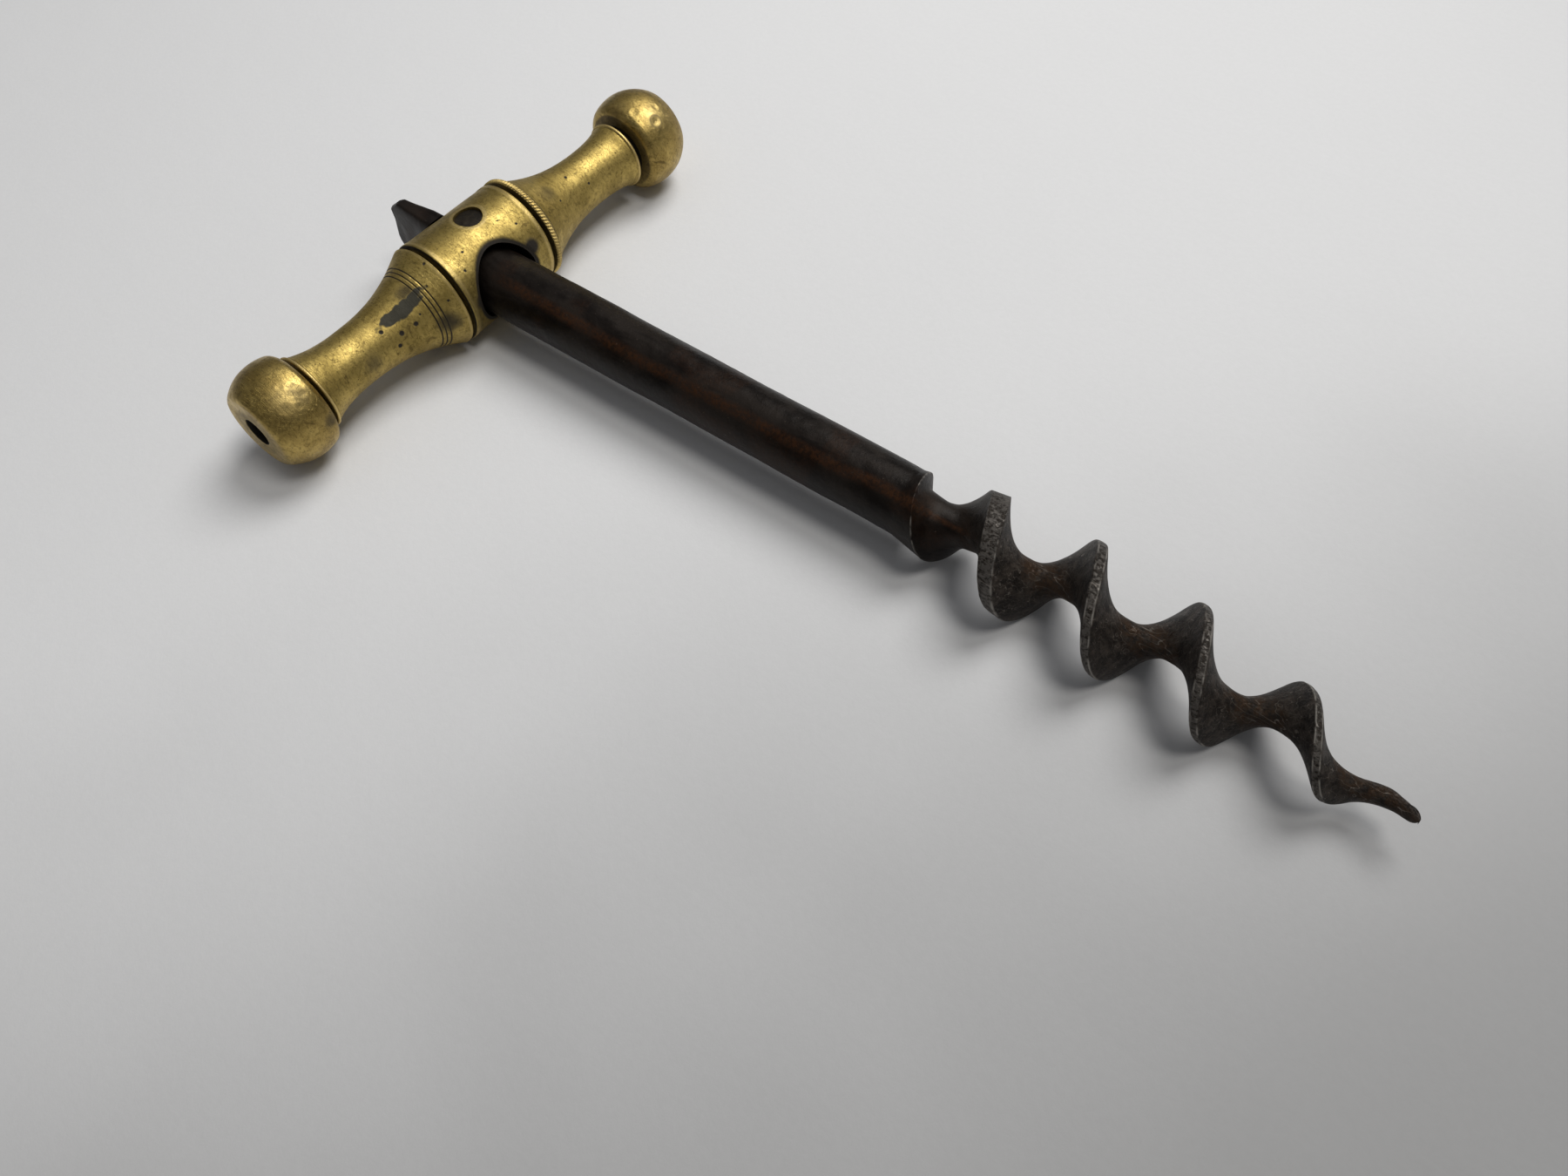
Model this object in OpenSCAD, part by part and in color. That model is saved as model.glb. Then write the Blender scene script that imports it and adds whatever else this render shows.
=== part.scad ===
// Straight-pull corkscrew: turned brass crossbar, steel shank, worm and a flattened tail.
// Handle axis along Y, shank along +X, up is +Z. Lies on its barrel and its worm.
// Millimetres.

/* [Barrel] */
// Radius of the barrel between its end beads
barrel_r = 7.1; // [6.5:0.05:8]
// Half length of the barrel, middle to end face
barrel_half = 7.3; // [6.8:0.1:9]
// How far the bead at each end stands above the barrel
bead_rise = 0.15; // [0:0.05:0.4]

/* [Arms] */
// Width of the turned groove between barrel and arm
groove_w = 0.7; // [0.4:0.1:1.2]
// Radius of the arm's shoulder, next to the barrel
shoulder_r = 7.1; // [6:0.05:8]
// Radius of the arm's waist
waist_r = 3.75; // [3.2:0.05:4.5]
// Distance of the waist from the middle of the handle
waist_y = 21.1; // [18:0.1:23]
// Radius of the arm's outer end
flare_r = 5; // [4.2:0.05:5.4]
// Distance of the left arm's outer end from the middle of the handle
arm_end = 28.9; // [26:0.1:30]
// How much shorter the right arm is
arm_short = 1; // [0:0.1:1.2]
// Width of the milled collar on the right arm
collar_w = 0.9; // [0.5:0.1:1.5]
// How far that collar stands above the shoulder
collar_rise = 0.15; // [0.05:0.05:0.15]
// How quickly the shoulder falls: lower is quicker
shoulder_fall = 0.54; // [0.4:0.02:1]
// How late the flare opens: higher is later
flare_late = 2.7; // [1.5:0.1:4]

/* [Knobs] */
// Radius of each knob
knob_r = 6.74; // [6:0.02:7.1]
// Distance of the knob's centre beyond the arm's end
knob_off = 3.35; // [3:0.05:5]
// Distance of the flat end face from the knob's centre
knob_face = 4.6; // [4:0.05:5.5]
// Gap between arm and knob on the left, where the knob is screwed tight
gap_left = 0.5; // [0.3:0.1:1]
// Gap between arm and knob on the right
gap_right = 1.1; // [0.3:0.1:1.3]
// Radius of the blind hole in the left end face
end_hole_r = 1.85; // [1.2:0.05:2.5]
// Depth of that hole
end_hole_deep = 3.2; // [2:0.1:3.6]

/* [Shank] */
// Radius of the shank at the handle
shank_r = 4.3; // [3.8:0.05:4.4]
// Radius of the shank where the worm starts
shank_end_r = 4.05; // [3.5:0.05:4.2]
// Distance from the handle axis to the worm's root
worm_root = 69.3; // [60:0.1:80]
// Radius of the shank's hole through the barrel
shank_hole_r = 4.92; // [4.9:0.01:5.1]
// How far the shank's hole lies above the middle
hole_up = 0.29; // [0.25:0.01:0.29]
// How far the shank's hole lies towards the left arm
hole_side = 0.58; // [0.5:0.01:0.6]
// How far the shank itself lies below the middle
shank_drop = 0.27; // [0.2:0.01:0.27]
// How far the shank lies towards the left arm
shank_side = 0.55; // [0.5:0.01:0.6]
// How far the shank turns towards the right arm, in degrees
shank_turn = 0.77; // [0:0.01:1]
// How far the shank dips towards the worm, in degrees
shank_dip = 0.18; // [0:0.01:0.2]
// Radius of the cross pin
pin_r = 1.9; // [1.5:0.05:2.2]
// The pin's offset along the handle
pin_off = 0.8; // [0:0.1:1]

/* [Worm] */
// Advance of the worm in one turn
worm_pitch = 11.79; // [10:0.01:14]
// How much closer the last turn is than the first, as a share
pitch_growth = 0.04; // [0:0.001:0.1]
// Largest radius of the worm
worm_r = 6.38; // [6:0.01:6.8]
// Length of the worm, root to point
worm_len = 59.5; // [50:0.1:65]
// Length over which the crest rises out of the shank
rise_len = 18.4; // [8:0.1:20]
// Where the crest has died away, from the root
crest_len = 57.3; // [50:0.1:65]
// How late the crest dies away: higher is later
crest_late = 4; // [2:0.1:6]
// Radius of the worm's core where the groove starts
core_start = 2.6; // [1.5:0.1:3]
// Radius of the core once the groove is at its full depth
core_r = 1.1; // [0.8:0.05:1.5]
// Radius of the core at the point
core_end_r = 1.05; // [0.5:0.05:1.5]
// Half width of the flat land on the first turn, in degrees of turn
land_half = 30; // [10:1:40]
// Half width of the land on the later turns, in degrees of turn
land_end = 19; // [10:1:40]
// How far the land is crowned, as a share of the crest's height
land_crown = 0.02; // [0:0.01:0.2]
// How hollow the flanks are: higher is hollower
flank_hollow = 3.2; // [1.5:0.1:5]
// Direction of the crest at the root, in degrees from +Y towards +Z
crest_start = 124.5; // [0:0.5:360]
// How far the worm's last turns stand off its axis
last_off = 0.8; // [0:0.1:1.5]
// How far the worm turns from the shank towards the right arm, in degrees
worm_turn = 0.84; // [0:0.01:2]
// How far the worm rises from the shank, in degrees
worm_rise = 0.41; // [0:0.01:2]
// How far the point is bent towards the left arm
bend_side = 4.2; // [0:0.1:5]
// How far the point is bent down
bend_down = 2.3; // [0:0.1:4]

/* [Tail] */
// Height of the flattened tail, up and down
tail_h = 10.8; // [9.6:0.1:12]
// Thickness of the tail where it leaves the barrel
tail_t = 3.2; // [2.5:0.1:5]
// Thickness of the tail at its end
tail_end_t = 1.2; // [1:0.1:2.5]
// Distance from the handle axis to the tail's end
tail_x = 15; // [14:0.1:18]

/* [Hidden] */
$fn = 96;

// Studs that the arms and knobs screw on to
stud_r = 1.75;
stud_in = 5.7;
stud_out = arm_end + 4;
barrel_tap_r = stud_r + 0.02;
slide_r = stud_r + 0.05;
pin_hole_r = pin_r + 0.02;

// The bead at each end of the barrel, and the fine chamfers of the turned rings
bead_w = 0.6;
bead_fade = 0.4;
chamfer = 0.2;

seat_gap = 0.02;
arm_in = barrel_half + groove_w;
neck_r = 5.6;
knob_neck_r = 3.1;
knob_y = arm_end + knob_off;
handle_half = knob_y + knob_face;
end_round = 1.2;

// The groove sets in steeply up to groove_at and reaches its full depth at core_fall; the land
// narrows over the second turn; the section moves off the axis after off_start
groove_at = 1.6;
groove_steep = 1.6;
core_fall = 12;
narrow_from = 14;
narrow_to = 30;
off_start = 6;
point_round = 1.2;

// Where the tail starts inside the barrel's round, and its gap to the barrel
tail_from = -4;
tail_gap = 0.05;

worm_tip = (worm_root + worm_len * cos(worm_turn)) * cos(shank_turn);
mid_x = (worm_tip - tail_x) / 2;
axis_z = barrel_r + bead_rise;
// Half length of the tools that cut right through the barrel or the shank
through = 10;

// Moves the model from the handle axis to the middle of its footprint, on the surface.
module placed() {
    translate([-mid_x, 0, axis_z]) children();
}

// Turns a profile of [radius, distance] points about the handle axis.
module turned(profile) {
    rotate([-90, 0, 0]) rotate_extrude() polygon(profile);
}

// A round hole along the handle axis between two distances.
module handle_hole(r, y1, y2) {
    translate([0, y1, 0]) rotate([-90, 0, 0]) cylinder(r = r, h = y2 - y1);
}

// Radius of the arm: a shoulder that falls to the waist, and a flare beyond it.
function arm_radius(y) =
    y < waist_y
        ? waist_r + (shoulder_r - waist_r)
            * (1 + cos(180 * pow((y - arm_in) / (waist_y - arm_in), shoulder_fall))) / 2
        : waist_r + (flare_r - waist_r) * pow((y - waist_y) / (arm_end - waist_y), flare_late);

module barrel() {
    bead = barrel_r + bead_rise;
    inner = barrel_half - bead_w - bead_fade;
    profile = [[0, -barrel_half], [bead - chamfer, -barrel_half], [bead, chamfer - barrel_half],
               [bead, bead_w - barrel_half], [barrel_r, -inner], [barrel_r, inner],
               [bead, barrel_half - bead_w], [bead, barrel_half - chamfer],
               [bead - chamfer, barrel_half], [0, barrel_half]];
    color("#aa945a") placed() difference() {
        turned(profile);
        translate([-through, -hole_side, hole_up]) rotate([0, 90, 0])
            cylinder(r = shank_hole_r, h = 2 * through);
        translate([0, pin_off, -through]) cylinder(r = pin_hole_r, h = 2 * through);
        for (side = [-1, 1]) scale([1, side, 1]) handle_hole(barrel_tap_r, stud_in - 1, through);
    }
}

// One arm, made for the +Y side and cut off at y = end. The collar is the milled ring next to the barrel.
module arm(collar, end) {
    steps = 44;
    body = [for (i = [0 : steps])
        let (y = arm_in + (end - arm_in) * i / steps) [arm_radius(y), y]];
    difference() {
        union() {
            turned(concat([[0, barrel_half + seat_gap], [neck_r, barrel_half + seat_gap], [neck_r, arm_in]],
                body, [[0, end]]));
            if (collar) turned([[0, arm_in], [shoulder_r, arm_in],
                [shoulder_r + collar_rise, arm_in + chamfer],
                [shoulder_r + collar_rise, arm_in + collar_w - chamfer],
                [shoulder_r - chamfer, arm_in + collar_w], [0, arm_in + collar_w]]);
        }
        handle_hole(slide_r, 0, end + 1);
    }
}

module arm_left() {
    color("#a8915a") placed() mirror([0, 1, 0]) arm(false, arm_end);
}

module arm_right() {
    color("#a8915a") placed() arm(true, arm_end - arm_short);
}

// One knob, made for the +Y side: a ball with a flat end face on a short neck that starts at the arm.
module knob(start, gap, hole_deep) {
    in_y = start + gap;
    in_angle = acos((in_y - knob_y) / knob_r);
    round_y = knob_face - end_round;
    round_r = sqrt(pow(knob_r - end_round, 2) - pow(round_y, 2));
    out_angle = atan2(round_r, round_y);
    steps = 36;
    ball = [for (i = [0 : steps])
        let (a = in_angle + (out_angle - in_angle) * i / steps)
            [knob_r * sin(a), knob_y + knob_r * cos(a)]];
    edge = [for (i = [1 : 8])
        let (a = out_angle * (1 - i / 8))
            [round_r + end_round * sin(a), knob_y + round_y + end_round * cos(a)]];
    difference() {
        turned(concat([[0, start + seat_gap], [knob_neck_r, start + seat_gap], [knob_neck_r, in_y]],
            ball, edge, [[0, handle_half]]));
        handle_hole(slide_r, 0, stud_out + 0.2);
        if (hole_deep > 0) handle_hole(end_hole_r, handle_half - hole_deep, handle_half + 1);
    }
}

module knob_left() {
    color("#a38c55") placed() mirror([0, 1, 0]) knob(arm_end, gap_left, end_hole_deep);
}

module knob_right() {
    color("#a38c55") placed() knob(arm_end - arm_short, gap_right, 0);
}

// A steel stud, tapped into the barrel and running through the arm into the knob.
module stud(side) {
    color("#55504a") placed() scale([1, side, 1]) handle_hole(stud_r, stud_in, stud_out);
}

module stud_left() { stud(-1); }

module stud_right() { stud(1); }

// Half width of the land at a distance s from the root, in degrees of turn.
function land_at(s) =
    land_half + (land_end - land_half) * min(1, max(0, (s - narrow_from) / (narrow_to - narrow_from)));

// Height across one turn: 1 on the land, falling in a hollow curve to 0 at the core.
function crest(a, land) = abs(a) < land
    ? 1 - land_crown * pow(a / land, 2)
    : (1 - land_crown) * pow((180 - abs(a)) / (180 - land), flank_hollow);

// Radius of the worm's core at a distance s from its root.
function core_at(s) =
    (s < core_fall
        ? core_start + (core_r - core_start) * s / core_fall + groove_steep * max(0, groove_at - s)
        : core_r + (core_end_r - core_r) * (s - core_fall) / (worm_len - core_fall))
    * sqrt(max(0.05, 1 - pow(max(0, s - worm_len + point_round) / (point_round + 0.1), 2)));

// Radius of the worm's skin at a distance s from its root: the land lies on it.
function crest_r(s) = s < rise_len
    ? shank_end_r + (worm_r - shank_end_r) * sin(90 * s / rise_len)
    : let (t = min(1, (s - rise_len) / (crest_len - rise_len)))
        core_at(s) + (worm_r - core_at(s)) * (1 - pow(t, crest_late));

// Radius of the whole section there, before the skin trims it.
function full_r(s) = s < rise_len ? worm_r : crest_r(s);

// How far the section stands off the axis, towards its crest, at a distance s from the root.
function section_off(s) =
    let (t = min(1, max(0, (s - off_start) / (worm_len - off_start)))) last_off * t * t * (3 - 2 * t);

// Direction of the crest at a distance s from the root, from +Y towards +Z.
function crest_turn(s) = crest_start + 360 * s / worm_pitch * (1 - pitch_growth * s / worm_len);

// The worm as rings of points that turn with the crest, closed at both ends.
module worm() {
    sunk = 1;
    under = 0.15;
    points = 30;
    rings = 100;
    angles = [for (i = [0 : points - 1]) -180 + 360 * i / points];
    function ring(s) = [for (a = angles)
        let (c = core_at(s), o = section_off(s), turn = crest_turn(s),
             bend = pow(max(s, 0) / worm_len, 2),
             section = c + (full_r(s) - o - c) * crest(a, land_at(s)),
             r = s < 0 ? shank_end_r - under : s < rise_len ? min(crest_r(s) - o, section) : section)
            [s, o * cos(turn) + r * cos(a + turn) - bend_side * bend,
             o * sin(turn) + r * sin(a + turn) - bend_down * bend]];
    verts = [for (k = [0 : rings]) each ring(-sunk + (worm_len + sunk) * k / rings)];
    sides = [for (k = [0 : rings - 1], i = [0 : points - 1])
        let (j = (i + 1) % points, a = k * points, b = a + points)
            each [[a + i, b + i, b + j], [a + i, b + j, a + j]]];
    first = [[for (i = [0 : points - 1]) i]];
    last = [[for (i = [0 : points - 1]) rings * points + points - 1 - i]];
    polyhedron(concat(verts), concat(sides, first, last));
}

// The tail: the bar hammered flat behind the barrel. It thins to its end, which is taller than
// the shank's hole, with the upper corner cut off on a slope and a shallow notch below it.
module tail() {
    half = tail_h / 2;
    end = -tail_x;
    top_edge = [[tail_from, half], [-barrel_r, half], [end + 5.7, half - 0.2], [end + 2.9, half - 0.05],
                [end + 2.4, half - 0.25]];
    end_edge = [[end + 0.6, half - 1.8], [end + 0.8, half - 3.4], [end + 0.5, half - 4.9], [end, -1.1],
                [end + 0.15, -1.8], [end + 0.7, -2.6], [end + 0.9, 1.8 - half]];
    low_edge = [[end + 2.4, 0.25 - half], [end + 2.9, 0.05 - half], [end + 5.7, 0.2 - half],
                [-barrel_r, -half], [tail_from, -half]];
    plan_view = [[tail_from, tail_t / 2], [-barrel_r, tail_t / 2], [end, tail_end_t / 2],
                 [end, -tail_end_t / 2], [-barrel_r, -tail_t / 2], [tail_from, -tail_t / 2]];
    difference() {
        intersection() {
            rotate([90, 0, 0]) linear_extrude(2 * tail_t, center = true)
                polygon(concat(top_edge, end_edge, low_edge));
            linear_extrude(2 * tail_h, center = true) polygon(plan_view);
        }
        translate([0, 0, shank_drop]) rotate([90, 0, 0])
            cylinder(r = barrel_r + bead_rise + tail_gap, h = 3 * tail_t, center = true);
    }
}

// The bar with its tail and worm, a little out of square with the handle as the forged piece is.
module forged_bar() {
    bar_back = 7.2;
    rotate([0, shank_dip, 0]) rotate([0, 0, shank_turn]) {
        translate([-bar_back, 0, 0]) rotate([0, 90, 0])
            cylinder(r1 = shank_r, r2 = shank_end_r, h = bar_back + worm_root);
        tail();
        translate([worm_root, 0, 0]) rotate([0, -worm_rise, 0]) rotate([0, 0, worm_turn]) worm();
    }
}

module shank_and_worm() {
    color("#2e2822") placed() difference() {
        translate([0, -shank_side, -shank_drop]) forged_bar();
        translate([0, pin_off, -through]) cylinder(r = pin_hole_r, h = 2 * through);
    }
}

module cross_pin() {
    pin_half = barrel_r - 0.35;
    color("#3a342b") placed() translate([0, pin_off, -pin_half]) cylinder(r = pin_r, h = 2 * pin_half);
}

barrel();
arm_left();
arm_right();
knob_left();
knob_right();
stud_left();
stud_right();
shank_and_worm();
cross_pin();
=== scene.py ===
import math

import bpy
import numpy as np
from mathutils import Euler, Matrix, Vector


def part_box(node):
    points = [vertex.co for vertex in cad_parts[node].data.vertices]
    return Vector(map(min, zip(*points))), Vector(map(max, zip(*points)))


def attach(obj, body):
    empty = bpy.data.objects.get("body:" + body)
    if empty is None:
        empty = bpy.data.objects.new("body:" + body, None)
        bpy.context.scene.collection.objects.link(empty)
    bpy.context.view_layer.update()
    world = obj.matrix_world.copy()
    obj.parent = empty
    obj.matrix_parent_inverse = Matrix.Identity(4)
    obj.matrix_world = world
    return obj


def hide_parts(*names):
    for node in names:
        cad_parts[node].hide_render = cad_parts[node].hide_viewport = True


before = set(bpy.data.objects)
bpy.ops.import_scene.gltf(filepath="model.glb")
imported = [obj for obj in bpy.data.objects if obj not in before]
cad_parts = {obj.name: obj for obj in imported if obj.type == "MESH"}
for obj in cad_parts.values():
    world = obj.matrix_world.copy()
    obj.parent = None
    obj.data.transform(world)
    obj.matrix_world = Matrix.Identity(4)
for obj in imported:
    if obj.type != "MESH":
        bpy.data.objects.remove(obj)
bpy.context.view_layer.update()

MM = 0.001

# The handle's axis runs along Y through this point, in mm; y is measured from the barrel's middle.
_low, _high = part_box("barrel")
CENTRE = np.array([(_low[i] + _high[i]) / 2 / MM for i in range(3)])
BEAD_R = (_high[2] - _low[2]) / 2 / MM
BARREL_HALF = (_high[1] - _low[1]) / 2 / MM
_low, _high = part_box("arm_left")
ARM_END = -_low[1] / MM
_low, _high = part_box("arm_right")
RIGHT_END = _high[1] / MM
COLLAR_R = (_high[2] - _low[2]) / 2 / MM
_low, _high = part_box("knob_right")
KNOB_R = (_high[2] - _low[2]) / 2 / MM
HALF = _high[1] / MM
_low, _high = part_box("stud_right")
STUD_R = (_high[2] - _low[2]) / 2 / MM
STUD_IN, STUD_OUT = _low[1] / MM, _high[1] / MM
_low, _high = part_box("cross_pin")
PIN_R = (_high[0] - _low[0]) / 2 / MM
PIN_Y = (_high[1] + _low[1]) / 2 / MM
PIN_HALF = (_high[2] - _low[2]) / 2 / MM
_low, _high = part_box("shank_and_worm")
TAIL_X = CENTRE[0] - _low[0] / MM

# Shapes that the boxes don't give, in mm and degrees.
BARREL_R = BEAD_R - 0.15
HOLE_R, HOLE_SIDE, HOLE_UP = 4.92, 0.58, 0.29           # the barrel's hole for the shank
SEAT_GAP, SLIDE_R = 0.02, STUD_R + 0.05                 # clearances of seats and of the sliding bores
GROOVE_W, NECK_R = 0.7, 5.6                             # the groove between barrel and arm
SHOULDER_R, SHOULDER_FALL = 7.1, 0.54                   # the arm's thick end and how late it starts to fall
WAIST_R, WAIST_Y = 3.75, 21.1
FLARE_R, FLARE_LATE = 5.0, 2.7                          # the arm's outer end and how late it opens
COLLAR_W = 0.9                                          # the right arm's rope collar
KNOB_Y, KNOB_ROUND, KNOB_NECK_R = ARM_END + 3.35, 1.2, 3.1
GAP_LEFT, GAP_RIGHT = 0.5, 1.1                          # the grooves between arms and knobs
END_HOLE_R, END_HOLE_DEEP = 1.85, 3.2                   # the blind hole in the left knob
TAIL_HALF, TAIL_T, TAIL_END_T = 5.4, 3.2, 1.2           # half height, thickness at the barrel and at the edge
SHANK_R, SHANK_END_R, SHANK_FROM = 4.3, 4.05, 5.5
SHANK_DROP, SHANK_SIDE, SHANK_TURN, SHANK_DIP = 0.27, 0.55, 0.77, 0.18
WORM_ROOT, WORM_LEN, WORM_PITCH, PITCH_GROWTH = 69.3, 59.5, 11.79, 0.04
WORM_R, RISE_LEN, CREST_LEN, CREST_LATE = 6.38, 18.4, 57.3, 4.0
CREST_START, LAST_OFF, OFF_START = 124.5, 0.8, 6        # first angle, and how far the last turn is off centre
CORE_START, CORE_R, CORE_END_R, CORE_FALL = 2.6, 1.1, 1.05, 12
GROOVE_AT, GROOVE_STEEP = 1.6, 1.6                      # where the groove sets in, and its slope
LAND_START, LAND_END, NARROW_FROM, NARROW_TO = 28, 17, 12, 26
LAND_CROWN, FLANK_HOLLOW = 0.02, 3.2
WORM_TURN, WORM_RISE, BEND_SIDE, BEND_DOWN, POINT_ROUND = 0.84, 0.41, 4.2, 2.3, 1.2


# ---------------------------------------------------------------- small tools

def step(value, low, high):
    """0 below low and 1 above high, smooth between; low may be above high."""
    t = np.clip((value - low) / (high - low), 0, 1)
    return t * t * (3 - 2 * t)


def lumps(points, size, seed, octaves=1):
    """Smooth seeded noise from -1 to 1 at points (..., 3); size is that of one lump in mm."""
    table = np.random.default_rng(seed).uniform(-1, 1, (32, 32, 32))
    total, weight = 0, 1
    for octave in range(octaves):
        q = points / size * 2 ** octave + 7.3 * octave
        cell = np.floor(q).astype(int)
        f = q - cell
        f = f * f * (3 - 2 * f)
        value = 0
        for corner in range(8):
            bit = [(corner >> k) & 1 for k in range(3)]
            share = np.prod([f[..., k] if bit[k] else 1 - f[..., k] for k in range(3)], axis=0)
            value = value + share * table[tuple((cell[..., k] + bit[k]) % 32 for k in range(3))]
        total = total + weight * value
        weight *= 0.5
    return total


def rounded(points, radius):
    """The polyline with each real corner replaced by a short curve."""
    points = [np.array(p, float) for p in points]
    out = [points[0]]
    for before, p, after in zip(points, points[1:], points[2:]):
        a, b = before - p, after - p
        la, lb = np.linalg.norm(a), np.linalg.norm(b)
        if la < 1e-6 or lb < 1e-6 or np.dot(a, b) / (la * lb) < -0.97:
            out.append(p)
            continue
        ca, cb = p + a / la * min(radius, la / 2), p + b / lb * min(radius, lb / 2)
        for t in np.linspace(0, 1, 6):
            out.append((1 - t) ** 2 * ca + 2 * t * (1 - t) * p + t * t * cb)
    out.append(points[-1])
    return out


def spaced(points, gap):
    """The polyline with no two points farther apart than gap."""
    out = [points[0]]
    for a, b in zip(points, points[1:]):
        n = max(1, math.ceil(np.linalg.norm(np.subtract(b, a)) / gap))
        out += [np.add(a, np.subtract(b, a) * k / n) for k in range(1, n + 1)]
    return np.array(out, float)


def make_object(name, verts, faces, sharp=None):
    """A smooth shaded object from points in mm; edges sharper than sharp degrees stay crisp."""
    mesh = bpy.data.meshes.new(name)
    mesh.from_pydata((verts * MM).tolist(), [], faces)
    mesh.validate()
    mesh.polygons.foreach_set("use_smooth", [True] * len(mesh.polygons))
    if sharp:
        mesh.set_sharp_from_angle(angle=math.radians(sharp))
    obj = bpy.data.objects.new(name, mesh)
    bpy.context.scene.collection.objects.link(obj)
    return obj


def grid_faces(rows, columns, closed_rows=False):
    """Quads of a grid that is closed round its columns."""
    r = np.arange(rows if closed_rows else rows - 1)[:, None]
    c = np.arange(columns)[None]
    r2, c2 = (r + 1) % rows, (c + 1) % columns
    quads = [r * columns + c, r2 * columns + c, r2 * columns + c2, r * columns + c2]
    return np.stack(np.broadcast_arrays(*quads), -1).reshape(-1, 4).tolist()


def turned(name, outline, sides, hand=1, shape=None, closed=False):
    """A piece turned about the handle's axis. outline is (radius, y) in mm along its skin, for the
    right hand side; hand -1 mirrors it. shape(y, angle, radius, points) gives what the turned
    radius gains at each point. An open outline starts and ends on the axis."""
    rings = outline[:-1] if closed else outline[1:-1]
    angle = np.arange(sides) * 2 * math.pi / sides
    radius = np.repeat(rings[:, 0][:, None], sides, 1)
    y = np.repeat(rings[:, 1][:, None], sides, 1) * hand
    a = np.broadcast_to(angle, y.shape)
    if shape:
        points = np.stack([radius * np.cos(a), y, radius * np.sin(a)], -1)
        slope = np.gradient(rings, axis=0)
        outward = slope[:, 1] / np.maximum(np.hypot(slope[:, 0], slope[:, 1]), 1e-9)
        along = -slope[:, 0] / np.maximum(np.hypot(slope[:, 0], slope[:, 1]), 1e-9)
        gain = shape(y, np.degrees(a), radius, points)
        radius = radius + gain * outward[:, None]
        y = y + gain * along[:, None] * hand
    verts = np.stack([radius * np.cos(a), y, radius * np.sin(a)], -1).reshape(-1, 3)
    n = len(rings)
    faces = grid_faces(n, sides, closed)
    if not closed:
        verts = np.vstack([verts, [0, outline[0, 1] * hand, 0], [0, outline[-1, 1] * hand, 0]])
        first, last = n * sides, n * sides + 1
        for k in range(sides):
            k2 = (k + 1) % sides
            faces.append([first, k, k2])
            faces.append([last, (n - 1) * sides + k2, (n - 1) * sides + k])
    if hand > 0:
        faces = [f[::-1] for f in faces]
    return make_object(name, verts + CENTRE, faces)


def near(y, angle, radius, spot_y, spot_angle):
    """Distance in mm over a turned surface to a spot given by y and angle."""
    turn = (angle - spot_angle + 180) % 360 - 180
    return np.hypot(y - spot_y, np.radians(turn) * radius)


def most(*layers):
    """The largest of the layers at each point."""
    total = layers[0]
    for layer in layers[1:]:
        total = np.maximum(total, layer)
    return total


def surface(obj):
    """y, angle, radius about the handle's axis, and the points, of a mesh's vertices, in mm."""
    co = np.empty(len(obj.data.vertices) * 3)
    obj.data.vertices.foreach_get("co", co)
    points = co.reshape(-1, 3) / MM - CENTRE
    angle = np.degrees(np.arctan2(points[:, 2], points[:, 0]))
    return points[:, 1], angle, np.hypot(points[:, 0], points[:, 2]), points


def mark(obj, **layers):
    """Stores one number per vertex for the materials to read."""
    for name, values in layers.items():
        layer = obj.data.attributes.new(name, "FLOAT", "POINT")
        layer.data.foreach_set("value", np.clip(values, 0, 1).astype(np.float32))


def cut(obj, *tools):
    """Takes the tools away from obj and removes them."""
    for tool in tools:
        change = obj.modifiers.new("cut", "BOOLEAN")
        change.operation, change.solver, change.object = "DIFFERENCE", "EXACT", tool
    graph = bpy.context.evaluated_depsgraph_get()
    mesh = bpy.data.meshes.new_from_object(obj.evaluated_get(graph))
    obj.modifiers.clear()
    obj.data = mesh
    for tool in tools:
        bpy.data.objects.remove(tool)
    mesh.polygons.foreach_set("use_smooth", [True] * len(mesh.polygons))
    mesh.set_sharp_from_angle(angle=math.radians(40))


def rod(name, start, end, radius, sides=128):
    """A plain round cutting tool between two points in mm, measured from CENTRE."""
    start, end = np.array(start, float), np.array(end, float)
    along = (end - start) / np.linalg.norm(end - start)
    across = np.cross(along, [0.3, 0.5, 0.8])
    across /= np.linalg.norm(across)
    other = np.cross(along, across)
    a = (np.arange(sides) + 0.5) * 2 * math.pi / sides
    ring = np.cos(a)[:, None] * across + np.sin(a)[:, None] * other
    verts = np.vstack([start + radius * ring, end + radius * ring])
    faces = [[k, (k + 1) % sides, sides + (k + 1) % sides, sides + k] for k in range(sides)]
    faces += [list(range(sides))[::-1], list(range(sides, 2 * sides))]
    return make_object(name, verts + CENTRE, faces)


# ---------------------------------------------------------------- materials

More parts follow.
